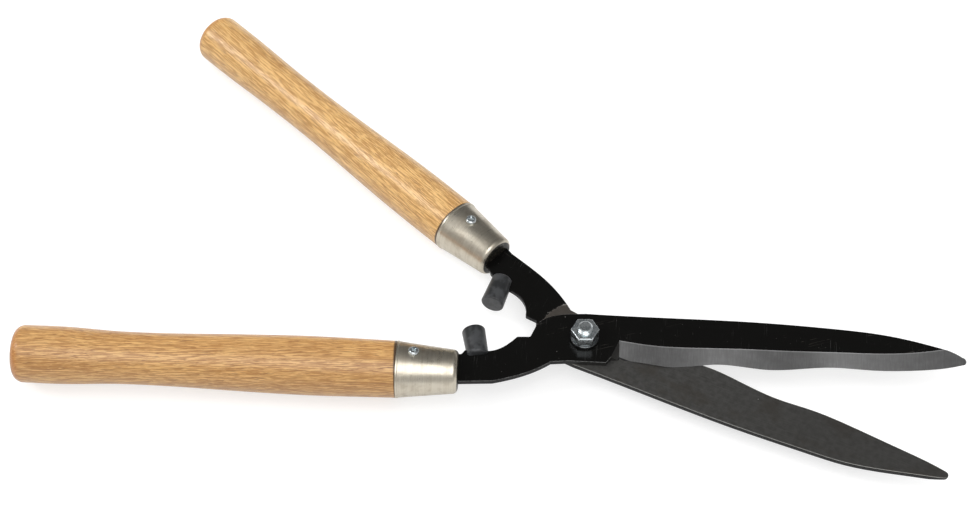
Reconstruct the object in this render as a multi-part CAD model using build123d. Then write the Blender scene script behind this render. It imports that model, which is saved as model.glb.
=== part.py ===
"""Hedge shears with wavy blades and turned wooden handles.

Two crossed halves turn on one bolt. Each half is a steel plate (blade, arm and tang in one piece)
with a wooden handle, a drawn ferrule, a ferrule screw and a rubber bumper.

A half is drawn flat in its own frame: the pivot is the origin, +X runs from the pivot to the blade's
tip, -Y is the cutting side, z = 0 is the inner face and z = PLATE_T the outer face. The rear half is
turned over about X, so both inner faces meet at the parting plane.

Row frame: +X along the front blade, +Y away from its cutting side, +Z up along the pivot bolt, with
the origin on the pivot axis at the outer face of the bolt head.
"""
from build123d import *
import math
import os

# Plates
PLATE_T = 3.0               # thickness of both steel plates
RUN_GAP = 0.05              # running gap on each face that turns
EDGE_ROUND = 0.45           # rounding of the stamped outline's rims
CORNER_ROUND = 1.0          # rounding of the outline's corners
EDGE_LAND = 0.2             # thickness left at the ground cutting edge
FRONT_ANGLE = -3.9          # front blade's line, degrees from +X at rest
REAR_ANGLE = -24.3          # rear blade's line at rest

# Pivot: M8 hexagon bolt, nut and spring washer
BOLT_R = 4.0
HOLE_R = 4.06
HEX_AF = 13.0
HEAD_H = 5.3
NUT_H = 6.5
WASHER_H = 1.8
WASHER_R = 7.4
WASHER_BORE_R = 4.15
WASHER_SPLIT = 2.2
BOLT_PROUD = 2.6            # thread left standing out of the nut
BOLT_CHAMFER = 1.0

Z_REAR = HEAD_H + RUN_GAP                   # outer face of the rear plate
Z_REAR_INNER = Z_REAR + PLATE_T
Z_FRONT_INNER = Z_REAR_INNER + RUN_GAP
Z_FRONT = Z_FRONT_INNER + PLATE_T           # outer face of the front plate
Z_NUT = Z_FRONT + WASHER_H
Z_BOLT_END = Z_NUT + NUT_H + BOLT_PROUD

# Handle
JOINT_R = 14.8              # radius beside the ferrule
BUTT_ROUND = 5.0
JOINT_ROUND = 0.7           # softened shoulder beside the ferrule

# Ferrule: a drawn cup, mouth at the wood
FERRULE_L = 31.8
MOUTH_R = 14.7
NOSE_R = 11.5               # outer radius where the nose corner starts
NOSE_ROUND = 2.8
FERRULE_T = 0.9
LIP_R = 14.95               # bright rim at the mouth
LIP_W = 0.9
SPIGOT_L = 25.0             # reduced end of the wood inside the ferrule
SPIGOT_GAP = 0.05

# Tang
TANG_W = 12.0
TANG_DEPTH = 62.0           # reach past the ferrule joint into the wood
ARM_REACH = 6.4             # full-width arm inside the ferrule

# Ferrule screw
SCREW_HEAD_R = 2.8
SCREW_LIFT = 0.06           # the flat head only touches the crown of the cone
SCREW_HEAD_H = 1.7
SCREW_R = 1.5
SCREW_L = 10.5
RECESS_W = 0.7
RECESS_SPAN = 3.2
RECESS_D = 0.9

# Rubber bumper, on a tab of the arm
BUMPER_BASE_R = 5.6
BUMPER_END_R = 6.2
BUMPER_OVERLAP = 3.0        # how far it straddles the plate
TAB_W = 5.0
TAB_L = 9.0

# The two halves. Outlines are in the half's own frame, and the handle's radii are at equal steps
# from the ferrule to the butt: hand-finished handles differ a little in girth.
BEVEL_TOP = [(-2, 1.2), (20, -0.6), (46, -2.4), (72, -1.5), (98, -0.8), (125, -0.1), (150, 0.6),
             (170, 2.4), (184, 5.0), (199, 8.8)]
BEVEL_START = ((18.6, 1.0), (13.2, -13.0))  # line across the outer face where the grinding begins
RUN_OUT = 39                # slope of the ground face at the heel, degrees
RICASSO = [(-7.7, -14.8), (11.7, -14.6), (14.1, -11.0)]
SHOULDER = [(0, 15.9), (-10, 14.9), (-20, 12.0), (-25.3, 7.5)]

FRONT = {
    "angle": FRONT_ANGLE,
    "edge": [(14.1, -11.0), (24, -11.15), (47.3, -13.45), (69, -10.2), (95, -11.7), (128, -8.1), (150, -8.4),
             (170, -7.2), (188, -4.4), (196.4, -2.0)],
    "tip": (198.4, 0.1),
    "spine": [(196.4, 2.1), (192.5, 4.0), (188, 5.5), (180, 7.75), (160, 12.2), (130, 15.0), (90, 16.4),
              (40, 16.05), (0, 15.9)],
    "notch": [(-25.3, 7.5), (-28.4, -0.8), (-35.2, -1.2)],
    "inner": [(-35.2, -1.2), (-39.0, -5.4), (-46.0, -10.3), (-50.5, -11.3)],
    "root": (-61.8, -11.5),
    "outer": [(-46.5, -29.9), (-36.3, -26.6), (-26.2, -22.0), (-17.0, -15.9)],
    "arm": (10.4, 6.8),     # arm edges beside the handle axis: inner side, outer side
    "joint": (-96.1, -25.1),
    "handle_dir": 181.0,
    "bumper": (-55.4, -11.4, 102.4, 13.6),  # base point, direction and length past the edge
    "screw": (8.9, 9),    # distance from the joint, turn about the handle from the upper side
    "radii": [15.3, 15.4, 15.1, 14.6, 14.0, 13.7, 13.9, 14.9],
    "butt_r": 15.0,
    "handle_l": 199.5,
}
REAR = {
    "angle": REAR_ANGLE,
    "edge": [(14.1, -11.0), (30, -11.0), (46, -10.6), (66, -11.6), (84, -9.8), (103, -7.9), (123, -8.7),
             (144, -7.6), (170, -5.0), (188, -2.95), (195.2, -1.6)],
    "tip": (196.9, 0.4),
    "spine": [(195.6, 2.6), (192, 3.75), (185.4, 5.5), (172, 9.05), (158.4, 12.4), (145, 14.6), (130, 15.5),
              (90, 16.85), (40, 16.4), (0, 15.9)],
    "notch": [(-25.3, 7.5), (-28.2, -2.1), (-34.9, -2.8)],
    "inner": [(-34.9, -2.8), (-38.6, -9.8), (-43.6, -13.2), (-49.5, -14.8)],
    "root": (-63.0, -20.6),
    "outer": [(-57.8, -37.3), (-45.1, -33.0), (-33.5, -28.3), (-21.0, -21.0), (-14.4, -15.9)],
    "arm": (8.0, 7.8),
    "joint": (-94.3, -43.2),
    "handle_dir": 200.5,
    "bumper": (-55.6, -17.6, 85.2, 14.6),
    "screw": (11.0, 184),
    "radii": [14.9, 14.6, 14.0, 13.4, 13.1, 13.1, 13.4, 14.0],
    "butt_r": 14.2,
    "handle_l": 203.0,
}


def to_row(shape, half):
    """Move a shape from a half's own frame to the row frame."""
    if half is REAR:
        return Pos(0, 0, Z_REAR_INNER) * Rot(0, 0, REAR_ANGLE) * Rot(180, 0, 0) * shape
    return Pos(0, 0, Z_FRONT_INNER) * Rot(0, 0, FRONT_ANGLE) * shape


def handle_frame(half):
    """Frame on the handle axis at the ferrule joint, +X towards the butt."""
    x, y = half["joint"]
    return Pos(x, y, PLATE_T / 2) * Rot(0, 0, half["handle_dir"])


def handle_point(half, x, y):
    """A point given along and across the handle axis, in the half's own frame."""
    a = math.radians(half["handle_dir"])
    jx, jy = half["joint"]
    return (jx + x * math.cos(a) - y * math.sin(a), jy + x * math.sin(a) + y * math.cos(a))


def prism(edges, height):
    """Extrude a closed loop of edges upwards from z = 0."""
    return extrude(make_face(Curve() + edges), height, dir=(0, 0, 1))


def blade_outline(half):
    """Closed outline of blade, pivot eye and arm, down to the wide end inside the ferrule."""
    edge, spine = half["edge"], half["spine"]
    inner_w, outer_w = half["arm"]
    reach = -FERRULE_L + ARM_REACH
    arm_in = [handle_point(half, -FERRULE_L - 1.0, -inner_w), handle_point(half, reach, -inner_w)]
    arm_out = [handle_point(half, reach, outer_w), handle_point(half, -FERRULE_L - 1.0, outer_w)]
    return [
        Spline(edge),
        ThreePointArc(edge[-1], half["tip"], spine[0]),
        Spline(spine),
        Spline(SHOULDER),
        Polyline(half["notch"]),
        Spline(half["inner"]),
        Polyline([half["inner"][-1], half["root"]] + arm_in + arm_out + [half["outer"][0]]),
        Spline(half["outer"]),
        Polyline([half["outer"][-1]] + RICASSO),
    ]


def grinding(half):
    """Solid that the grinding takes away: a slope from BEVEL_TOP to the wavy edge, run out at the heel."""
    xs = [-2.0] + [p[0] for p in half["edge"][1:]] + [199.0]
    edge_y = [half["edge"][0][1]] + [p[1] for p in half["edge"][1:]] + [half["tip"][1] - 1.0]
    sections = []
    for x, y_edge in zip(xs, edge_y):
        y_top = interpolate(BEVEL_TOP, x)
        slope = (PLATE_T - EDGE_LAND) / (y_top - y_edge)
        above = (y_top + 1.5 / slope, PLATE_T + 1.5)
        beyond = (y_edge - 6.0, EDGE_LAND - 6.0 * slope)
        corner = (beyond[0], above[1])
        sections.append(make_face(Polyline([(x, *above), (x, *beyond), (x, *corner), (x, *above)])))
    block = loft(sections)
    (xa, ya), (xb, yb) = BEVEL_START
    along = math.degrees(math.atan2(ya - yb, xa - xb))
    heel = Rot(RUN_OUT - 90, 0, 0) * Pos(0, 60, 0) * Box(160, 120, 80)
    heel = Pos(xb, yb, PLATE_T) * Rot(0, 0, along) * heel
    return block - heel


def interpolate(points, x):
    """Height of a chain of points at x."""
    for (xa, ya), (xb, yb) in zip(points, points[1:]):
        if xa <= x <= xb:
            return ya + (yb - ya) * (x - xa) / (xb - xa)
    return points[-1][1]


def bumper_frame(half):
    """Frame at the bumper's base on the arm's edge, +X along the bumper."""
    x, y, direction, _ = half["bumper"]
    return Pos(x, y, PLATE_T / 2) * Rot(0, 0, direction)


def plate(half):
    """Blade, arm, bumper tab and tang as one steel plate, in the half's own frame."""
    body = prism(blade_outline(half), PLATE_T)
    body = fillet(body.edges().filter_by(Axis.Z), CORNER_ROUND)
    rims = body.faces().filter_by(Axis.Z).edges()
    rims = [e for e in rims if not (e.center().X > half["edge"][0][0] and e.center().Y < 0)]
    body = fillet(rims, EDGE_ROUND)
    body -= Pos(0, 0, PLATE_T / 2) * Cylinder(HOLE_R, PLATE_T * 2)
    body -= grinding(half)
    tang_l = FERRULE_L - ARM_REACH + TANG_DEPTH
    tang = Pos(TANG_DEPTH - tang_l / 2 - 1.0, 0, 0) * Box(tang_l + 2.0, TANG_W, PLATE_T)
    body += handle_frame(half) * tang
    tab = Pos(TAB_L / 2 - 1.0, 0, 0) * Box(TAB_L + 2.0, TAB_W, PLATE_T)
    body += bumper_frame(half) * tab
    return body


def bumper(half, steel):
    """Rubber sleeve that straddles the plate's edge and grips its tab."""
    length = half["bumper"][3]
    full = length + BUMPER_OVERLAP
    body = Pos(-BUMPER_OVERLAP + full / 2, 0, 0) * Rot(0, 90, 0) * Cone(BUMPER_BASE_R, BUMPER_END_R, full)
    ends = body.edges().filter_by(GeomType.CIRCLE).sort_by(Axis.X)
    body = fillet(ends[0], 1.4)
    body = fillet(body.edges().filter_by(GeomType.CIRCLE).sort_by(Axis.X)[-1], 0.8)
    return bumper_frame(half) * body - steel


def turned(points):
    """Solid of revolution about X from a closed loop of edges in the XY plane."""
    return revolve(make_face(Curve() + points), Axis.X)


def ferrule_inner_r(x):
    """Inner radius of the ferrule's straight wall, x from the joint towards the butt."""
    return MOUTH_R - FERRULE_T + (MOUTH_R - NOSE_R) * x / (FERRULE_L - NOSE_ROUND)


def handle(half):
    """Turned wooden handle with its spigot and the slot for the tang."""
    radii = half["radii"]
    butt_r = half["butt_r"]
    length = half["handle_l"]
    step = length / (len(radii) + 2)
    profile = [(JOINT_ROUND, JOINT_R)]
    profile += [(step * (i + 1.5), r) for i, r in enumerate(radii)]
    profile += [(length - BUTT_ROUND, butt_r)]
    end_r = butt_r - BUTT_ROUND
    bend = BUTT_ROUND * (1 - math.sqrt(0.5))
    butt_mid = (length - bend, butt_r - bend)
    spigot_r = ferrule_inner_r(0) - SPIGOT_GAP
    spigot_end_r = ferrule_inner_r(-SPIGOT_L) - SPIGOT_GAP
    body = turned([
        Polyline([(-SPIGOT_L, 0), (-SPIGOT_L, spigot_end_r), (0, spigot_r),
                  (0, JOINT_R - JOINT_ROUND), profile[0]]),
        Spline(profile),
        ThreePointArc(profile[-1], butt_mid, (length, end_r)),
        Polyline([(length, end_r), (length, 0), (-SPIGOT_L, 0)]),
    ])
    slot_l = SPIGOT_L + TANG_DEPTH
    body -= Pos(TANG_DEPTH - slot_l / 2, 0, 0) * Box(slot_l, TANG_W, PLATE_T)
    body -= screw_axis(half) * Pos(0, 0, -SCREW_L / 2) * Cylinder(SCREW_R, SCREW_L)
    return handle_frame(half) * body


def ferrule(half):
    """Drawn steel cup over the handle's spigot, slotted for the arm."""
    nose = -FERRULE_L
    corner = nose + NOSE_ROUND
    bend = NOSE_ROUND * (1 - math.sqrt(0.5))
    in_r = NOSE_ROUND - FERRULE_T
    in_bend = in_r * (1 - math.sqrt(0.5))
    inner_nose_r = NOSE_R - FERRULE_T
    body = turned([
        Polyline([(0, ferrule_inner_r(0)), (0, LIP_R), (-LIP_W, LIP_R), (-LIP_W - 0.25, MOUTH_R - 0.09),
                  (corner, NOSE_R)]),
        ThreePointArc((corner, NOSE_R), (nose + bend, NOSE_R - bend), (nose, NOSE_R - NOSE_ROUND)),
        Polyline([(nose, NOSE_R - NOSE_ROUND), (nose, 0), (nose + FERRULE_T, 0),
                  (nose + FERRULE_T, inner_nose_r - in_r)]),
        ThreePointArc((nose + FERRULE_T, inner_nose_r - in_r),
                      (nose + FERRULE_T + in_bend, inner_nose_r - in_bend), (corner, inner_nose_r)),
        Line((corner, inner_nose_r), (0, ferrule_inner_r(0))),
    ])
    inner_w, outer_w = half["arm"]
    slot_w = inner_w + outer_w + 0.3
    slot_y = (outer_w - inner_w) / 2
    body -= Pos(nose, slot_y, 0) * Box(2 * ARM_REACH - 1.0, slot_w, PLATE_T + 0.2)
    body -= screw_axis(half) * Cylinder(SCREW_R, 8)
    return handle_frame(half) * body


def screw_axis(half):
    """Frame on the ferrule's surface at the screw, +Z outwards, in the handle frame."""
    distance, turn = half["screw"]
    surface_r = ferrule_inner_r(-distance) + FERRULE_T + SCREW_LIFT
    taper = math.degrees(math.atan2(MOUTH_R - NOSE_R, FERRULE_L - NOSE_ROUND))
    return Rot(turn, 0, 0) * Pos(-distance, 0, surface_r) * Rot(0, -taper, 0)


def ferrule_screw(half):
    """Pan-head wood screw with a cross recess."""
    head = Cylinder(SCREW_HEAD_R, SCREW_HEAD_H, align=(Align.CENTER, Align.CENTER, Align.MIN))
    head = fillet(head.edges().sort_by(Axis.Z)[-1], 1.1)
    shank = Pos(0, 0, -SCREW_L) * Cylinder(SCREW_R, SCREW_L, align=(Align.CENTER, Align.CENTER, Align.MIN))
    body = head + shank
    for turn in (45, 135):
        cut = Box(RECESS_SPAN, RECESS_W, 2 * RECESS_D)
        body -= Pos(0, 0, SCREW_HEAD_H) * Rot(0, 0, turn) * cut
    return handle_frame(half) * screw_axis(half) * body


def hexagon(height, chamfer_bottom, chamfer_top):
    """Hexagon bar with its corners turned down at one or both ends, two corners along X."""
    bar = extrude(RegularPolygon(HEX_AF / 2, 6, major_radius=False), height)
    r_corner = HEX_AF / math.sqrt(3)
    r_face = HEX_AF * 0.54
    drop = (r_corner - r_face) * math.tan(math.radians(30))
    z0 = drop if chamfer_bottom else 0
    z1 = drop if chamfer_top else 0
    r0 = r_face if chamfer_bottom else r_corner
    r1 = r_face if chamfer_top else r_corner
    far = r_corner + 0.001
    pts = [(0, 0), (r0, 0), (far, z0), (far, height - z1), (r1, height), (0, height), (0, 0)]
    cone = revolve(make_face(Plane.XZ * Polyline(pts)), Axis.Z)
    return bar & cone


def pivot_bolt():
    """M8 hexagon bolt, head at the back."""
    shank_l = Z_BOLT_END - HEAD_H
    shank = Cylinder(BOLT_R, shank_l, align=(Align.CENTER, Align.CENTER, Align.MIN))
    shank = chamfer(shank.edges().sort_by(Axis.Z)[-1], BOLT_CHAMFER)
    return hexagon(HEAD_H, True, False) + Pos(0, 0, HEAD_H) * shank


def pivot_nut():
    return Pos(0, 0, Z_NUT) * (hexagon(NUT_H, True, True) - Cylinder(BOLT_R, 4 * NUT_H))


def lock_washer():
    """Split spring washer, closed flat under the nut."""
    ring = Cylinder(WASHER_R, WASHER_H) - Cylinder(WASHER_BORE_R, WASHER_H)
    ring -= Rot(0, 0, 25) * Pos(WASHER_R, 0, 0) * Rot(20, 0, 0) * Box(10, WASHER_SPLIT, 10)
    return Pos(0, 0, Z_FRONT + WASHER_H / 2) * ring


os.makedirs("parts", exist_ok=True)
nodes = {"pivot_bolt": pivot_bolt(), "pivot_nut": pivot_nut(), "lock_washer": lock_washer()}
for side, half in (("front", FRONT), ("rear", REAR)):
    steel = plate(half)
    nodes[side + "_blade"] = to_row(steel, half)
    nodes[side + "_bumper"] = to_row(bumper(half, steel), half)
    nodes[side + "_handle"] = to_row(handle(half), half)
    nodes[side + "_ferrule"] = to_row(ferrule(half), half)
    nodes[side + "_ferrule_screw"] = to_row(ferrule_screw(half), half)
for name, shape in nodes.items():
    export_step(shape, f"parts/{name}.step")
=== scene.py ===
"""Hedge shears on a pale studio floor.

The blades, ferrules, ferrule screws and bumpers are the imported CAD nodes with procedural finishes.
The handles and the pivot's bolt, nut and spring washer are rebuilt in mesh code on the same dimensions.

Lengths here are in millimetres until a mesh is made. Each half of the shears has its own frame:
pivot at the origin, +X to the blade's tip, z = 0 on the inner face and z = PLATE_T on the outer one.
"""
import math

import bmesh
import bpy
import numpy as np
from mathutils import Euler, Matrix, Vector, noise


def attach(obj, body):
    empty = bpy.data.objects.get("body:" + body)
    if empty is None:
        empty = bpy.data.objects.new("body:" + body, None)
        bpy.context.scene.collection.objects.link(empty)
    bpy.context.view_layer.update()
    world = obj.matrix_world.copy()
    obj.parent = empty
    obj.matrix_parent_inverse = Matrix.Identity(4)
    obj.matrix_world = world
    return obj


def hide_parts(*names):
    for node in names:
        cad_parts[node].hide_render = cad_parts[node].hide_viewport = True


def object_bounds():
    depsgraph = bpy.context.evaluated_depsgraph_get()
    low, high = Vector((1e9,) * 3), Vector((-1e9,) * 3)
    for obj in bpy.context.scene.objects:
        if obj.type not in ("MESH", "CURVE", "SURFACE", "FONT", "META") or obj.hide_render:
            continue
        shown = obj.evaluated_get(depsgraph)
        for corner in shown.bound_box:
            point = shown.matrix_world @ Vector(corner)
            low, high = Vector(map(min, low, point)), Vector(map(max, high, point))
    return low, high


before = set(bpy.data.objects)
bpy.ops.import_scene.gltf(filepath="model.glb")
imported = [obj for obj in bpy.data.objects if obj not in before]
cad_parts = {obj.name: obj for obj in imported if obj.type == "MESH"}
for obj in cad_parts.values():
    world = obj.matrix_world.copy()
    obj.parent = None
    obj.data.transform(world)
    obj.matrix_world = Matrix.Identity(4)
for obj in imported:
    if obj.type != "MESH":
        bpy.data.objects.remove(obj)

bpy.context.view_layer.update()
cad_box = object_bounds()

MM = 0.001

# ---------------------------------------------------------------- driving dimensions, as in the CAD
PLATE_T = 3.0
BOLT_R = 4.0
HEX_AF = 13.0
HEAD_H = 5.3
NUT_H = 6.5
WASHER_H = 1.8
WASHER_R = 7.4
WASHER_BORE_R = 4.15
Z_REAR_INNER = 8.35
Z_FRONT_INNER = 8.40
Z_FRONT = Z_FRONT_INNER + PLATE_T
Z_NUT = Z_FRONT + WASHER_H
Z_NUT_TOP = Z_NUT + NUT_H
BOLT_PROUD = 2.6
BOLT_CHAMFER = 1.0
Z_BOLT_END = Z_NUT_TOP + BOLT_PROUD
Z_THREAD = Z_NUT - 1.0
THREAD_PITCH = 1.25
THREAD_DEPTH = 0.62
SHANK_SINK = 0.5            # the shank's mesh starts this far inside the head

JOINT_R = 14.8
JOINT_ROUND = 0.7
BUTT_ROUND = 5.0
BUTT_CROWN = 0.54
SANDING_DEPTH = 0.10
FERRULE_L = 31.8
SPIGOT_L = 25.0
SPIGOT_R = 13.75
SPIGOT_END_R = 10.9

BEVEL_START = ((18.6, 1.0), (13.2, -13.0))
BARE_R = 25.6               # the lapped inner face reaches this far round the pivot
RUN_OUT_W = 4.6             # widest part of the ground face's run-out at the heel
BEVEL_TOP_Y = 8.8           # the ground face stays below this, the spine's eased edge lies above

FRONT = {
    "side": "front", "turn": (0, 0, -3.9), "z": Z_FRONT_INNER,
    "joint": (-96.1, -25.1), "handle_dir": 181.0, "handle_l": 199.5, "butt_r": 15.0,
    "radii": [15.3, 15.4, 15.1, 14.6, 14.0, 13.7, 13.9, 14.9],
}
REAR = {
    "side": "rear", "turn": (180, 0, -24.3), "z": Z_REAR_INNER,
    "joint": (-94.3, -43.2), "handle_dir": 200.5, "handle_l": 203.0, "butt_r": 14.2,
    "radii": [14.9, 14.6, 14.0, 13.4, 13.1, 13.1, 13.4, 14.0],
}


def turned_by(x, y, z):
    """Rotation matrix for turns in degrees about X, then Y, then Z."""
    return Euler([math.radians(a) for a in (x, y, z)]).to_matrix().to_4x4()


def half_frame(half):
    return Matrix.Translation((0, 0, half["z"])) @ turned_by(*half["turn"])


def handle_frame(half):
    """On the handle's axis at the ferrule joint, +X towards the butt."""
    at = Matrix.Translation((*half["joint"], PLATE_T / 2))
    return half_frame(half) @ at @ turned_by(0, 0, half["handle_dir"])


# ---------------------------------------------------------------- material graphs
class Graph:
    """Short calls for one material's nodes. A socket or a constant can feed any input."""

    def __init__(self, name, tree=None):
        if tree is None:
            self.material = bpy.data.materials.new(name)
            self.material.use_nodes = True
            tree = self.material.node_tree
            tree.nodes.clear()
        self.tree = tree

    def node(self, kind, props=None, **inputs):
        made = self.tree.nodes.new("ShaderNode" + kind)
        for key, value in (props or {}).items():
            setattr(made, key, value)
        for key, value in inputs.items():
            self.feed(made.inputs[key.replace("_", " ")], value)
        return made

    def feed(self, socket, value):
        if isinstance(value, bpy.types.NodeSocket):
            self.tree.links.new(value, socket)
        elif socket.type == "RGBA":
            socket.default_value = (*value, 1.0) if len(value) == 3 else value
        else:
            socket.default_value = value

    def math(self, operation, *values, clamp=False):
        made = self.node("Math", {"operation": operation, "use_clamp": clamp})
        for socket, value in zip(made.inputs, values):
            self.feed(socket, value)
        return made.outputs[0]

    def both(self, a, b):
        return self.math("MULTIPLY", a, b)

    def either(self, a, b):
        return self.math("MAXIMUM", a, b)

    def flip(self, a):
        return self.math("SUBTRACT", 1.0, a)

    def fade(self, value, start, end, low=0.0, high=1.0):
        """Smooth step of value from low at start to high at end."""
        turned = start > end
        if turned:
            start, end, low, high = end, start, high, low
        made = self.node("MapRange", {"interpolation_type": "SMOOTHSTEP"})
        for socket, v in zip(made.inputs, (value, start, end, low, high)):
            self.feed(socket, v)
        return made.outputs[0]

    def mix(self, factor, a, b, blend="MIX"):
        made = self.node("Mix", {"data_type": "RGBA", "blend_type": blend})
        for index, value in ((0, factor), (6, a), (7, b)):
            self.feed(made.inputs[index], value)
        return made.outputs[2]

    def blend(self, factor, a, b):
        """Number between a and b."""
        made = self.node("Mix", {"data_type": "FLOAT"})
        for index, value in ((0, factor), (2, a), (3, b)):
            self.feed(made.inputs[index], value)
        return made.outputs[0]

    def position(self):
        return self.node("TexCoord").outputs["Object"]

    def normal(self):
        return self.node("TexCoord").outputs["Normal"]

    def into(self, matrix):
        """Position in a frame given by its matrix, in millimetres."""
        place, turn, _ = matrix.decompose()
        made = self.node("Mapping", {"vector_type": "TEXTURE"}, Vector=self.position(),
                         Location=place * MM, Rotation=turn.to_euler(), Scale=(MM, MM, MM))
        return made.outputs[0]

    def parts(self, vector):
        return self.node("SeparateXYZ", Vector=vector).outputs

    def scaled(self, vector, scale, offset=(0, 0, 0)):
        return self.node("Mapping", Vector=vector, Scale=scale, Location=offset).outputs[0]

    def noise(self, vector, scale, detail=3.0, rough=0.5, distortion=0.0):
        made = self.node("TexNoise", Vector=vector, Scale=scale, Detail=detail,
                         Roughness=rough, Distortion=distortion)
        return made.outputs[0]

    def grain(self, vector, per_mm, at=(0, 0, 0), **settings):
        """Noise stretched along the axes: per_mm is how fast it changes along each."""
        return self.noise(self.scaled(vector, per_mm, at), 1.0, **settings)

    def specks(self, vector, scale, size, share):
        """Sparse round spots: size is in cells, share is how many cells have one."""
        cells = self.node("TexVoronoi", Vector=vector, Scale=scale)
        chosen = self.parts(cells.outputs["Color"])[0]
        near = self.fade(cells.outputs["Distance"], size, size * 0.4)
        return self.both(near, self.fade(chosen, 1 - share, 1 - share + 0.01))

    def bump(self, height, depth, strength=1.0, normal=None):
        made = self.node("Bump", Height=height, Distance=depth * MM, Strength=strength)
        if normal is not None:
            self.feed(made.inputs["Normal"], normal)
        return made.outputs[0]

    def surface(self, **inputs):
        """The Principled shader, linked to the output."""
        shader = self.node("BsdfPrincipled", **inputs)
        out = self.node("OutputMaterial")
        self.tree.links.new(shader.outputs[0], out.inputs["Surface"])
        return self.material


def wood(half, tones):
    """Lacquered open-pored hardwood with the grain along the handle."""
    g = Graph(half["side"] + "_lacquered_wood")
    p = g.into(handle_frame(half) @ turned_by(0, 1.2, 2.0))
    x = g.parts(p)[0]
    length = half["handle_l"]
    light, mid, dark, pore, butt = tones

    wander = g.grain(p, (0.012, 0.07, 0.07), detail=2.0)
    rings = g.grain(p, (0.014, 0.24, 0.30), detail=4.0, rough=0.65, distortion=1.6)
    fibre = g.grain(p, (0.16, 1.45, 1.45), detail=3.0, rough=0.62, distortion=0.3)
    fleck = g.grain(p, (0.24, 1.5, 1.5), at=(5, 3, 9), detail=2.0, rough=0.55, distortion=0.4)
    pores = g.grain(p, (0.15, 1.8, 1.8), at=(31, 7, 2), detail=2.0, rough=0.5, distortion=0.2)
    pore_mask = g.both(g.fade(pores, 0.56, 0.64), g.fade(rings, 0.38, 0.58, 0.30, 1.0))
    colour = g.mix(g.fade(rings, 0.30, 0.70), light, mid)
    colour = g.mix(g.fade(wander, 0.40, 0.70, 0.0, 0.55), colour, dark)
    colour = g.mix(g.fade(fibre, 0.42, 0.60, 0.0, 0.75), colour, dark)
    colour = g.mix(g.fade(fleck, 0.52, 0.64, 0.0, 0.65), colour, light)
    colour = g.mix(g.both(pore_mask, 0.80), colour, pore)
    thread = g.grain(p, (0.09, 1.9, 1.9), at=(12, 4, 6), detail=1.0)
    colour = g.mix(g.fade(thread, 0.50, 0.58, 0.0, 0.70), colour, dark)
    colour = g.mix(g.fade(thread, 0.46, 0.38, 0.0, 0.65), colour, light)

    # the butt: an orange rim, then end grain with a painted dark reflection ring round it
    rim = g.fade(x, length - 7.0, length - 1.5)
    colour = g.mix(g.both(rim, 0.75), colour, butt)
    growth = g.grain(p, (0.0, 0.16, 0.55), at=(3, 3, 3), detail=3.0, rough=0.6, distortion=1.2)
    vessels = g.grain(p, (0.0, 2.4, 2.4), detail=1.0)
    end_grain = g.mix(g.fade(growth, 0.40, 0.60), mid, dark)
    end_grain = g.mix(g.fade(vessels, 0.52, 0.66, 0.0, 0.6), end_grain, pore)
    colour = g.mix(g.fade(x, length - 2.2, length - 0.9, 0.0, 0.8), colour, end_grain)
    # painted reflection: a dark ring at the butt's edge, standing in for the dark grazing reflection
    # there
    butt_dark_reflection = g.both(g.fade(x, length - 1.5, length - 0.9), g.fade(x, length - 0.25, length - 0.4))
    colour = g.mix(g.both(butt_dark_reflection, 0.40), colour, (0.060, 0.036, 0.012))

    # painted shade: a dark line where the wood meets the ferrule, standing in for the shade in the gap
    # at the joint
    colour = g.mix(g.fade(x, 1.3, 0.5, 0.0, 0.92), colour, (0.035, 0.018, 0.008))

    relief = g.math("SUBTRACT", g.both(g.math("SUBTRACT", fibre, thread), 0.5), pore_mask)
    film = g.grain(p, (0.12, 0.35, 0.35), at=(2, 8, 4), detail=2.0)
    return g.surface(
        Base_Color=colour, Roughness=g.blend(fibre, 0.42, 0.60), Normal=g.bump(relief, 0.05, 0.55),
        Coat_Weight=0.75, Coat_Roughness=0.26, Coat_IOR=1.5,
        Coat_Normal=g.bump(g.math("ADD", film, g.both(relief, 0.30)), 0.16, 0.7))


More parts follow.
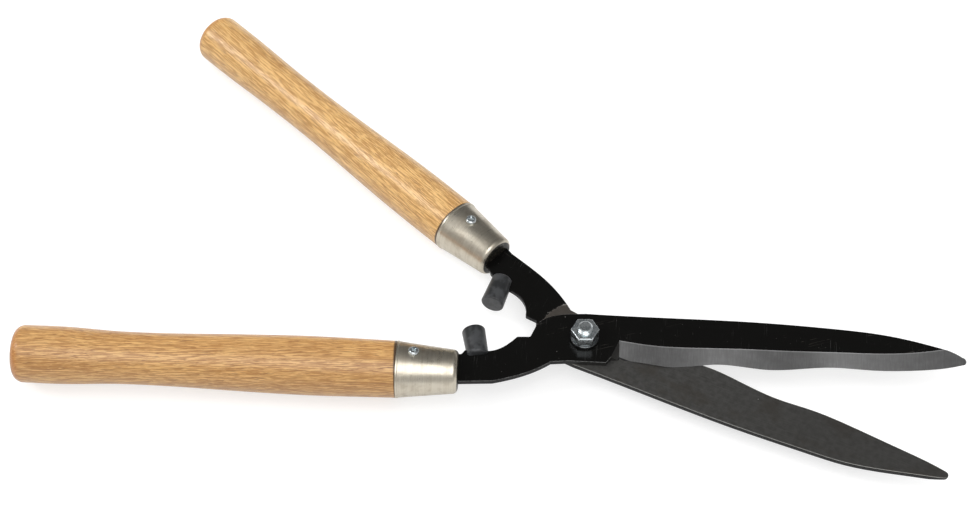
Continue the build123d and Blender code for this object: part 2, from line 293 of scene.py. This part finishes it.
def blade(half):
    """Black enamel, with the ground bevel and the lapped inner face left bare."""
    g = Graph(half["side"] + "_blade_steel")
    p = g.into(half_frame(half))
    x, y, z = g.parts(p)
    facing = g.parts(g.normal())[2]
    outward = g.both(facing, 1.0 if half is FRONT else -1.0)
    rough_edge = g.grain(p, (0.9, 0.9, 0.9), detail=3.0)
    wobble = g.fade(rough_edge, 0.3, 0.7, -0.5, 0.5)

    # where the steel is bare: the ground slope past its start line, and the lapped inner face
    (xa, ya), (xb, yb) = BEVEL_START
    run = math.hypot(xa - xb, ya - yb)
    nx, ny = (ya - yb) / run, -(xa - xb) / run
    past_start = g.math("ADD", g.both(g.math("SUBTRACT", x, xa), nx),
                        g.both(g.math("SUBTRACT", y, ya), ny))
    depth = g.math("SUBTRACT", PLATE_T, z)
    off_spine = g.fade(y, BEVEL_TOP_Y + 0.7, BEVEL_TOP_Y)
    slope = g.both(g.fade(outward, 0.35, 0.6), g.fade(depth, 0.015, 0.05))
    ground = g.both(g.both(slope, off_spine), g.fade(past_start, -0.2, 0.0))
    reach = g.math("SQRT", g.math("ADD", g.both(x, x), g.both(y, y)))
    lapped_zone = g.either(g.fade(x, 0.0, 1.0),
                           g.fade(g.math("ADD", reach, wobble), BARE_R + 0.3, BARE_R - 0.3))
    lapped = g.both(g.fade(z, 0.20, 0.14), lapped_zone)
    bare = g.either(ground, lapped)

    # enamel: scuffs across it, slanting scratches, dust, chips, a torn edge and a worn outer rim with a
    # painted highlight on it
    smudge = g.grain(p, (0.07, 0.07, 0.07), detail=4.0, rough=0.6)
    scuff_lines = g.grain(p, (2.4, 0.05, 0.5), at=(3, 1, 0), detail=2.0)
    scuffs = g.both(g.fade(scuff_lines, 0.63, 0.72), g.fade(smudge, 0.45, 0.62))
    slanting = g.node("Mapping", Vector=p, Rotation=(0, 0, -0.33)).outputs[0]
    scratch_lines = g.grain(slanting, (0.035, 2.2, 0.5), at=(7, 5, 0), detail=1.0)
    scratches = g.both(g.fade(scratch_lines, 0.70, 0.76), g.fade(smudge, 0.52, 0.60))
    dust = g.specks(p, 0.55, 0.16, 0.10)
    chips = g.specks(g.scaled(p, (1, 1, 1), (4, 2, 0)), 0.30, 0.13, 0.03)
    from_edge = g.math("ABSOLUTE", g.math("ADD", g.math("SUBTRACT", reach, BARE_R), wobble))
    torn = g.both(g.both(g.fade(from_edge, 0.75, 0.30), g.fade(z, 0.10, 0.05)),
                  g.fade(smudge, 0.46, 0.56))
    black = g.mix(g.both(scuffs, 0.17), (0.0030, 0.0029, 0.0026), (0.09, 0.09, 0.088))
    black = g.mix(g.both(torn, 0.7), black, (0.26, 0.25, 0.23))
    black = g.mix(g.both(scratches, 0.25), black, (0.11, 0.10, 0.085))
    black = g.mix(g.both(dust, 0.16), black, (0.22, 0.22, 0.2))
    black = g.mix(g.both(chips, 0.5), black, (0.30, 0.29, 0.27))
    # worn rim and painted highlight: the rounded rim of the plate is lightened, partly wear and partly
    # a painted highlight
    rim_face = g.both(g.fade(outward, 0.25, 0.55), g.fade(outward, 0.97, 0.85))
    rim_wear_and_highlight = g.both(g.both(rim_face, g.fade(depth, 0.02, 0.10)),
                      g.fade(rough_edge, 0.30, 0.62, 0.25, 1.0))
    rim_wear_and_highlight = g.both(rim_wear_and_highlight, g.flip(ground))
    black = g.mix(g.both(rim_wear_and_highlight, 0.55), black, (0.20, 0.20, 0.195))

    # ground bevel: a painted highlight along its top, painted shade at the run-out, and a painted
    # shadow along the edge near the heel
    cross = g.grain(p, (1.6, 0.16, 0.3), at=(0, 5, 0), detail=4.0, rough=0.6)
    cloud = g.grain(p, (0.10, 0.22, 0.1), at=(9, 0, 0), detail=3.0, rough=0.6)
    bevel = g.mix(g.fade(cross, 0.3, 0.7), (0.165, 0.165, 0.165), (0.205, 0.205, 0.205))
    bevel = g.mix(g.fade(cloud, 0.35, 0.7, 0.0, 0.5), bevel, (0.145, 0.145, 0.143))
    # painted highlight: the top of the bevel is lightened as if it catches the light
    crest = g.fade(depth, 0.22, 0.06)
    bevel = g.mix(g.both(crest, 0.7), bevel, (0.45, 0.45, 0.45))
    # painted shade: the steeper run-out facet is darkened for its dimmer reflection
    painted_run_out_shade = g.both(g.fade(outward, 0.92, 0.85), g.fade(past_start, RUN_OUT_W, 0.0, 0.55, 1.0))
    bevel = g.mix(painted_run_out_shade, bevel, (0.085, 0.083, 0.078))
    # painted shadow: a black line along the lower edge near the heel, standing in for the shadow the
    # edge casts on the other blade
    painted_edge_shadow = g.both(g.fade(z, 0.27, 0.21), g.both(g.fade(x, 64.0, 30.0), g.fade(past_start, 1.0, 3.5)))
    bevel = g.mix(g.both(painted_edge_shadow, 0.9), bevel, (0.02, 0.02, 0.02))

    # lapped inner face, darker towards the tip and browner round the pivot
    along = g.grain(p, (0.05, 1.6, 0.3), detail=4.0, rough=0.6)
    mottle = g.grain(p, (0.35, 0.35, 0.35), at=(2, 2, 2), detail=4.0, rough=0.65)
    patch = g.grain(p, (0.045, 0.07, 0.05), at=(1, 7, 0), detail=3.0, rough=0.5)
    inner = g.mix(g.fade(mottle, 0.3, 0.7), (0.180, 0.177, 0.168), (0.240, 0.236, 0.226))
    inner = g.mix(g.fade(along, 0.48, 0.70, 0.0, 0.6), inner, (0.27, 0.266, 0.255))
    inner = g.mix(g.fade(patch, 0.50, 0.68, 0.0, 0.50), inner, (0.165, 0.145, 0.12))
    inner = g.mix(g.specks(p, 0.22, 0.10, 0.12), inner, (0.75, 0.75, 0.72))
    inner = g.mix(g.fade(z, 0.02, 0.07, 0.0, 0.5), inner, (0.36, 0.36, 0.35))
    inner = g.mix(g.fade(x, 40.0, 150.0, 0.0, 0.4), inner, (0.145, 0.142, 0.135))
    inner = g.mix(g.fade(x, 2.0, -2.0, 0.0, 0.7), inner, (0.25, 0.215, 0.185))

    steel = g.mix(ground, inner, bevel)
    steel_rough = g.blend(ground, g.blend(mottle, 0.36, 0.50), g.blend(cross, 0.34, 0.46))
    enamel_rough = g.fade(g.math("ADD", smudge, g.both(scuffs, 0.4)), 0.35, 0.85, 0.13, 0.30)
    steel_relief = g.both(g.blend(ground, along, cross), 0.5)
    enamel_relief = g.math("SUBTRACT", g.both(g.grain(p, (0.8, 0.8, 0.8), detail=2.0), 0.25),
                           g.both(g.either(chips, scratches), 0.5))
    relief = g.blend(bare, enamel_relief, steel_relief)
    return g.surface(
        Base_Color=g.mix(bare, black, steel), Metallic=bare, Specular_IOR_Level=0.2,
        Roughness=g.blend(bare, enamel_rough, steel_rough),
        Normal=g.bump(relief, 0.05, 0.6))


def nickel(half):
    """Satin nickel with turning marks; the closed end of the cup has a painted dark reflection of the
    black arm, with lighter dots in it.
    """
    g = Graph(half["side"] + "_nickel")
    p = g.into(handle_frame(half))
    x = g.parts(p)[0]
    fine = g.grain(p, (5.5, 0.06, 0.06), detail=3.0, rough=0.6)
    broad = g.grain(p, (0.9, 0.03, 0.03), at=(4, 0, 0), detail=3.0, rough=0.6)
    stain = g.grain(p, (0.16, 0.16, 0.16), at=(8, 1, 5), detail=4.0, rough=0.6)
    colour = g.mix(g.fade(broad, 0.3, 0.7), (0.60, 0.545, 0.445), (0.68, 0.63, 0.53))
    colour = g.mix(g.fade(fine, 0.45, 0.8, 0.0, 0.35), colour, (0.50, 0.45, 0.37))
    colour = g.mix(g.fade(stain, 0.48, 0.72, 0.0, 0.5), colour, (0.42, 0.36, 0.28))
    # painted reflection: the closed end is near-black and barely metallic, standing in for the black
    # arm reflected in it
    painted_reflection_nose = g.fade(x, -FERRULE_L + 0.45, -FERRULE_L + 0.25)
    dots = g.node("TexVoronoi", Vector=p, Scale=0.9)
    dot_mask = g.both(g.fade(dots.outputs["Distance"], 0.35, 0.15), painted_reflection_nose)
    colour = g.mix(painted_reflection_nose, colour, (0.012, 0.011, 0.009))
    colour = g.mix(g.both(dot_mask, 0.5), colour, (0.30, 0.27, 0.2))
    rough = g.math("ADD", g.fade(stain, 0.4, 0.75, 0.30, 0.45), g.fade(fine, 0.3, 0.7, -0.04, 0.06))
    relief = g.math("ADD", g.both(fine, 0.5), broad)
    return g.surface(
        Base_Color=colour, Metallic=g.blend(painted_reflection_nose, 1.0, 0.2), Roughness=rough, Anisotropic=0.35,
        Normal=g.bump(g.math("ADD", relief, g.both(dot_mask, 2.0)), 0.004, 0.5))


def zinc(name, clean, bright, stained):
    """Zinc plate with small stains."""
    g = Graph(name)
    p = g.scaled(g.position(), (1000, 1000, 1000))
    cloud = g.noise(p, 0.5, 4.0, 0.65)
    grain = g.noise(p, 4.0, 3.0, 0.6)
    colour = g.mix(g.fade(cloud, 0.35, 0.65), clean, bright)
    colour = g.mix(g.fade(grain, 0.55, 0.8, 0.0, 0.5), colour, stained)
    return g.surface(
        Base_Color=colour, Metallic=1.0, Roughness=g.fade(cloud, 0.3, 0.7, 0.20, 0.34),
        Normal=g.bump(g.math("ADD", cloud, g.both(grain, 0.4)), 0.04, 0.6))


def rubber():
    """Matt moulded rubber, greyed where it is handled."""
    g = Graph("bumper_rubber")
    p = g.scaled(g.position(), (1000, 1000, 1000))
    dusty = g.noise(p, 0.22, 4.0, 0.6)
    grain = g.noise(p, 3.5, 3.0, 0.6)
    colour = g.mix(g.fade(dusty, 0.40, 0.62), (0.012, 0.013, 0.014), (0.042, 0.044, 0.047))
    return g.surface(
        Base_Color=colour, Roughness=g.fade(dusty, 0.3, 0.7, 0.30, 0.42), Specular_IOR_Level=0.6,
        Normal=g.bump(grain, 0.04, 0.6), Sheen_Weight=0.05)


# ---------------------------------------------------------------- mesh building
def piece(name, verts, faces, place, body, material, node, sharp=35):
    """A mesh object in the row frame, riding on its body and standing for its CAD node."""
    mesh = bpy.data.meshes.new(name)
    mesh.from_pydata([(place @ Vector(v)) * MM for v in verts], [], faces)
    shell = bmesh.new()
    shell.from_mesh(mesh)
    bmesh.ops.remove_doubles(shell, verts=shell.verts, dist=1e-7)
    bmesh.ops.recalc_face_normals(shell, faces=shell.faces)
    shell.to_mesh(mesh)
    shell.free()
    mesh.shade_smooth()
    mesh.set_sharp_from_angle(angle=math.radians(sharp))
    obj = bpy.data.objects.new(name, mesh)
    bpy.context.scene.collection.objects.link(obj)
    mesh.materials.append(material)
    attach(obj, body)
    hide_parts(node)
    return obj


def join_rings(rings):
    """Verts and faces of a tube through rings of points; a ring of one point is a pole."""
    verts, faces, starts = [], [], []
    for ring in rings:
        starts.append(len(verts))
        verts.extend(ring)
    for i in range(len(rings) - 1):
        a, b, na, nb = starts[i], starts[i + 1], len(rings[i]), len(rings[i + 1])
        n = max(na, nb)
        for k in range(n):
            m = (k + 1) % n
            if na == 1:
                faces.append((a, b + k, b + m))
            elif nb == 1:
                faces.append((a + k, b, a + m))
            else:
                faces.append((a + k, b + k, b + m, a + m))
    return verts, faces


def lathed(profile, segments, wobble):
    """Rings about X from (x, r) pairs; wobble(x, angle) shrinks the radius a little."""
    rings = []
    for x, r in profile:
        if r < 1e-6:
            rings.append([(x, 0, 0)])
            continue
        ring = []
        for k in range(segments):
            a = 2 * math.pi * k / segments
            shrunk = r - wobble(x, a)
            ring.append((x, shrunk * math.cos(a), shrunk * math.sin(a)))
        rings.append(ring)
    return join_rings(rings)


def circle(r, z, segments):
    """A ring of points round Z."""
    return [(r * math.cos(2 * math.pi * k / segments), r * math.sin(2 * math.pi * k / segments), z)
            for k in range(segments)]


def arc(cx, cy, r, start, end, steps):
    """Points of an arc between two angles in degrees."""
    return [(cx + r * math.cos(math.radians(start + (end - start) * i / steps)),
             cy + r * math.sin(math.radians(start + (end - start) * i / steps)))
            for i in range(steps + 1)]


def smooth_curve(points, steps):
    """Natural cubic through (x, y) points, sampled evenly in x."""
    xs, ys = np.array(points, float).T
    n, h = len(xs), np.diff(xs)
    rows, right = np.eye(n), np.zeros(n)
    for i in range(1, n - 1):
        rows[i, i - 1:i + 2] = h[i - 1], 2 * (h[i - 1] + h[i]), h[i]
        right[i] = 6 * ((ys[i + 1] - ys[i]) / h[i] - (ys[i] - ys[i - 1]) / h[i - 1])
    bend = np.linalg.solve(rows, right)
    out = []
    for x in np.linspace(xs[0], xs[-1], steps + 1):
        i = min(max(int(np.searchsorted(xs, x)) - 1, 0), n - 2)
        u, v, w = (xs[i + 1] - x), (x - xs[i]), h[i]
        y = (bend[i] * u ** 3 + bend[i + 1] * v ** 3) / (6 * w)
        y += (ys[i] / w - bend[i] * w / 6) * u + (ys[i + 1] / w - bend[i + 1] * w / 6) * v
        out.append((float(x), float(y)))
    return out


def handle(half, material):
    """Turned handle, hand sanded: the radius wanders by a tenth of a millimetre."""
    length, butt_r = half["handle_l"], half["butt_r"]
    step = length / 10          # the radii are at 15 %, 25 % ... 85 % of the length
    knots = [(JOINT_ROUND, JOINT_R)]
    knots += [(step * (i + 1.5), r) for i, r in enumerate(half["radii"])]
    knots += [(length - BUTT_ROUND, butt_r)]
    flat_r = butt_r - BUTT_ROUND

    def crowned(x, r):
        return x - BUTT_CROWN * (r / butt_r) ** 2, r

    profile = [(-SPIGOT_L, 0), (-SPIGOT_L, SPIGOT_END_R), (0, SPIGOT_R), (0, JOINT_R - JOINT_ROUND)]
    profile += arc(JOINT_ROUND, JOINT_R - JOINT_ROUND, JOINT_ROUND, 180, 90, 5)[1:-1]
    profile += smooth_curve(knots, 150)
    profile += [crowned(x, r) for x, r in arc(length - BUTT_ROUND, flat_r, BUTT_ROUND, 90, 0, 14)[1:]]
    profile += [crowned(length, r) for r in (flat_r * 0.66, flat_r * 0.33, 0)]

    def sanding(x, a):
        if x < 1.0:
            return 0.0
        shift = 3 if half is REAR else 0
        n = noise.noise(Vector((x * 0.035, math.cos(a) * 1.3, math.sin(a) * 1.3 + shift)))
        return SANDING_DEPTH * (n + 1.0) * 0.5

    verts, faces = lathed(profile, 128, sanding)
    return piece(half["side"] + "_grip", verts, faces, handle_frame(half), half["side"] + "_half",
                 material, half["side"] + "_handle", sharp=40)


def hexagon_rings(z0, z1, bore_r, segments=240):
    """Rings of a hexagon bar from its lower bore or centre to the upper one: turned-down corners,
    rounded rims and two corners along X."""
    flat, corner_r, turned_r = HEX_AF / 2, HEX_AF * 0.574, HEX_AF * 0.55
    rim, sink = 0.5, 0.35
    turning_slope = math.tan(math.radians(30)) * 1.6
    angles = [2 * math.pi * k / segments for k in range(segments)]

    def reach(a):
        return min(flat / math.cos(a % (math.pi / 3) - math.pi / 6), corner_r)

    def outline(inset, z, towards):
        """The hexagon, inset by a distance, z falling towards the corners."""
        ring = []
        for a in angles:
            drop = max(0.0, reach(a) - turned_r) * turning_slope
            r = reach(a) - inset
            ring.append((r * math.cos(a), r * math.sin(a), z - towards * drop))
        return ring

    def rounding(z, towards):
        rings = [outline(rim * 2.6, z, 0)]
        for turn in (0, 18, 36, 54, 72, 90):
            t = math.radians(turn)
            rings.append(outline(rim * (1 - math.sin(t)), z - towards * rim * (1 - math.cos(t)),
                                 towards))
        return rings

    sides = rounding(z0, -1) + rounding(z1, 1)[::-1]
    if not bore_r:
        return [[(0, 0, z0)]] + sides + [[(0, 0, z1)]]
    lower = [circle(bore_r, z0 + sink, segments), circle(bore_r + sink, z0, segments)]
    upper = [circle(bore_r + sink, z1, segments), circle(bore_r, z1 - sink, segments)]
    return lower + sides + upper + lower[:1]


def bolt(material):
    """Hexagon head, plain shank and a real helical thread on the end that shows."""
    verts, faces = join_rings(hexagon_rings(0, HEAD_H, 0))
    segments, rows_per_pitch = 96, 20
    rows = int((Z_BOLT_END - Z_THREAD) / THREAD_PITCH * rows_per_pitch)
    rings = [[(0, 0, HEAD_H - SHANK_SINK)]]
    rings += [circle(BOLT_R, z, segments) for z in (HEAD_H - SHANK_SINK, Z_THREAD)]
    for i in range(1, rows + 1):
        z = Z_THREAD + (Z_BOLT_END - Z_THREAD) * i / rows
        limit = BOLT_R - max(0.0, z - (Z_BOLT_END - BOLT_CHAMFER))
        ring = []
        for k in range(segments):
            a = 2 * math.pi * k / segments
            phase = ((z - Z_THREAD) / THREAD_PITCH - k / segments) % 1.0
            crest = min(1.0, max(0.0, 1.25 - abs(phase - 0.5) * 3.2))
            r = min(BOLT_R - THREAD_DEPTH * (1 - crest), limit)
            ring.append((r * math.cos(a), r * math.sin(a), z))
        rings.append(ring)
    end_r, hollow = BOLT_R - BOLT_CHAMFER, 0.10
    for share, drop in ((0.9, 0.0), (0.55, 0.04), (0.2, hollow)):
        rings.append(circle(end_r * share, Z_BOLT_END - drop, segments))
    rings.append([(0, 0, Z_BOLT_END - hollow)])
    more, more_faces = join_rings(rings)
    faces += [tuple(i + len(verts) for i in f) for f in more_faces]
    verts += more
    return piece("pivot_bolt_threaded", verts, faces, Matrix.Identity(4), "front_half", material,
                 "pivot_bolt", sharp=30)


def nut(material):
    """Hexagon nut with a bore just inside the bolt's thread crests."""
    verts, faces = join_rings(hexagon_rings(Z_NUT, Z_NUT_TOP, BOLT_R - 0.05))
    return piece("pivot_nut_chamfered", verts, faces, Matrix.Identity(4), "front_half", material,
                 "pivot_nut", sharp=32)


def washer(material):
    """Spring washer: a rounded bar bent round the bolt, its cut ends slanting past each other."""
    steps, cut_at, half_gap, slant_by, corner = 120, 25, 9.0, 8.0, 0.3
    mid_r, half_w = (WASHER_R + WASHER_BORE_R) / 2, (WASHER_R - WASHER_BORE_R) / 2
    half_h = WASHER_H / 2
    section = []
    for sx, sy, start in ((1, 1, 0), (-1, 1, 90), (-1, -1, 180), (1, -1, 270)):
        section += arc(sx * (half_w - corner), sy * (half_h - corner), corner, start, start + 90, 4)
    rings = []
    for i in range(steps + 1):
        turn = cut_at + half_gap + (360 - 2 * half_gap) * i / steps
        ring = []
        for u, w in section:
            slant = slant_by * w / half_h if i in (0, steps) else 0.0
            a = math.radians(turn + slant)
            ring.append(((mid_r + u) * math.cos(a), (mid_r + u) * math.sin(a), Z_FRONT + half_h + w))
        rings.append(ring)
    verts, faces = join_rings(rings)
    n = len(section)
    faces += [tuple(range(n)), tuple(range(len(verts) - n, len(verts)))]
    return piece("spring_washer", verts, faces, Matrix.Identity(4), "front_half", material,
                 "lock_washer", sharp=40)


# ---------------------------------------------------------------- the object
# wood tones: light, mid, dark, pore and the butt's rim
OAK_FRONT = ((0.68, 0.400, 0.140), (0.55, 0.280, 0.075), (0.36, 0.160, 0.037), (0.17, 0.062, 0.016),
             (0.42, 0.150, 0.024))
OAK_REAR = ((0.82, 0.520, 0.205), (0.66, 0.370, 0.110), (0.42, 0.205, 0.050), (0.20, 0.080, 0.022),
            (0.46, 0.180, 0.030))

zinc_plate = zinc("zinc_plate", (0.60, 0.66, 0.68), (0.80, 0.84, 0.85), (0.34, 0.37, 0.38))
# painted shade: a dark copy of the zinc for the spring washer, standing in for the shade and the black
# plate's reflection under the nut
painted_shade_zinc = zinc("painted_shade_zinc", (0.10, 0.105, 0.108), (0.17, 0.175, 0.178), (0.05, 0.05, 0.05))
black_rubber = rubber()
for half, tones in ((FRONT, OAK_FRONT), (REAR, OAK_REAR)):
    side = half["side"]
    handle(half, wood(half, tones))
    finishes = {"_blade": blade(half), "_ferrule": nickel(half), "_ferrule_screw": zinc_plate,
                "_bumper": black_rubber}
    for end, finish in finishes.items():
        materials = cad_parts[side + end].data.materials
        materials.clear()
        materials.append(finish)
bolt(zinc_plate)
nut(zinc_plate)
# the spring washer takes the dark zinc with its painted shade
washer(painted_shade_zinc)


# ---------------------------------------------------------------- studio
FLOOR_Z = cad_box[0].z
FLOOR_HALF = 12.0
floor_mesh = bpy.data.meshes.new("floor")
corners = [(x * FLOOR_HALF, y * FLOOR_HALF, FLOOR_Z) for x, y in ((-1, -1), (1, -1), (1, 1), (-1, 1))]
floor_mesh.from_pydata(corners, [], [(0, 1, 2, 3)])
floor = bpy.data.objects.new("floor", floor_mesh)
bpy.context.scene.collection.objects.link(floor)
g = Graph("pale_floor")
cloud = g.grain(g.position(), (3, 3, 3), detail=2.0)
tint = g.mix(cloud, (0.475, 0.475, 0.472), (0.485, 0.485, 0.485))
# the floor glows a little more to the camera than to the object above it
glow = g.blend(g.node("LightPath").outputs["Is Camera Ray"], 0.36, 0.62)
floor_mesh.materials.append(g.surface(
    Base_Color=tint, Roughness=0.9, Specular_IOR_Level=0.0,
    Emission_Color=(1.0, 1.0, 1.0), Emission_Strength=glow))

world = bpy.data.worlds.new("studio")
bpy.context.scene.world = world
world.use_nodes = True
world.node_tree.nodes.clear()
g = Graph("studio", world.node_tree)
direction = g.node("TexCoord").outputs["Generated"]


def softbox(towards, spread, edge, radiance):
    """A round soft light in one direction of the sky: spread and edge are angles in degrees."""
    aim = Vector(towards).normalized()
    dot = g.node("VectorMath", {"operation": "DOT_PRODUCT"})
    g.feed(dot.inputs[0], direction)
    g.feed(dot.inputs[1], tuple(aim))
    near, far = math.cos(math.radians(spread - edge)), math.cos(math.radians(spread + edge))
    return g.fade(dot.outputs["Value"], far, near, 0.0, radiance)


key = softbox((0.04, -0.47, 0.88), spread=23, edge=4, radiance=2.4)
side_light = softbox((-0.74, 0.06, 0.67), spread=9, edge=3, radiance=8.0)
# the room is brighter on the camera's side; the camera itself sees plain near-white
room = g.fade(g.parts(direction)[1], -1.0, 0.7, 0.50, 0.15)
light = g.math("ADD", g.math("ADD", key, side_light), room)
seen = g.node("LightPath").outputs["Is Camera Ray"]
background = g.node("Background", Color=(1.0, 1.0, 1.0), Strength=g.blend(seen, light, 0.95))
world_out = g.node("OutputWorld")
world.node_tree.links.new(background.outputs[0], world_out.inputs["Surface"])

fill_data = bpy.data.lights.new("overhead_fill", "SUN")
fill_data.energy = 2.3
fill_data.angle = math.radians(120)
fill = bpy.data.objects.new("overhead_fill", fill_data)
fill.rotation_euler = (math.radians(-42), math.radians(-10), 0)
fill.visible_glossy = False
bpy.context.scene.collection.objects.link(fill)

CAMERA_ELEVATION = 52.916
CAMERA_DISTANCE = 1.0799
CAMERA_LENS = 73.85
CAMERA_AIM = (-0.05070, 0.05479, (Z_REAR_INNER + Z_FRONT_INNER) / 2 * MM)
aim_at = Vector(CAMERA_AIM)
up = math.radians(CAMERA_ELEVATION)
camera_data = bpy.data.cameras.new("camera")
camera_data.lens = CAMERA_LENS
camera_data.sensor_width = 36.0
camera = bpy.data.objects.new("camera", camera_data)
camera.location = aim_at + Vector((0, -math.cos(up), math.sin(up))) * CAMERA_DISTANCE
camera.rotation_euler = (math.pi / 2 - up, 0, 0)
bpy.context.scene.collection.objects.link(camera)
bpy.context.scene.camera = camera
bpy.context.scene.view_settings.view_transform = "Standard"

bpy.context.view_layer.update()
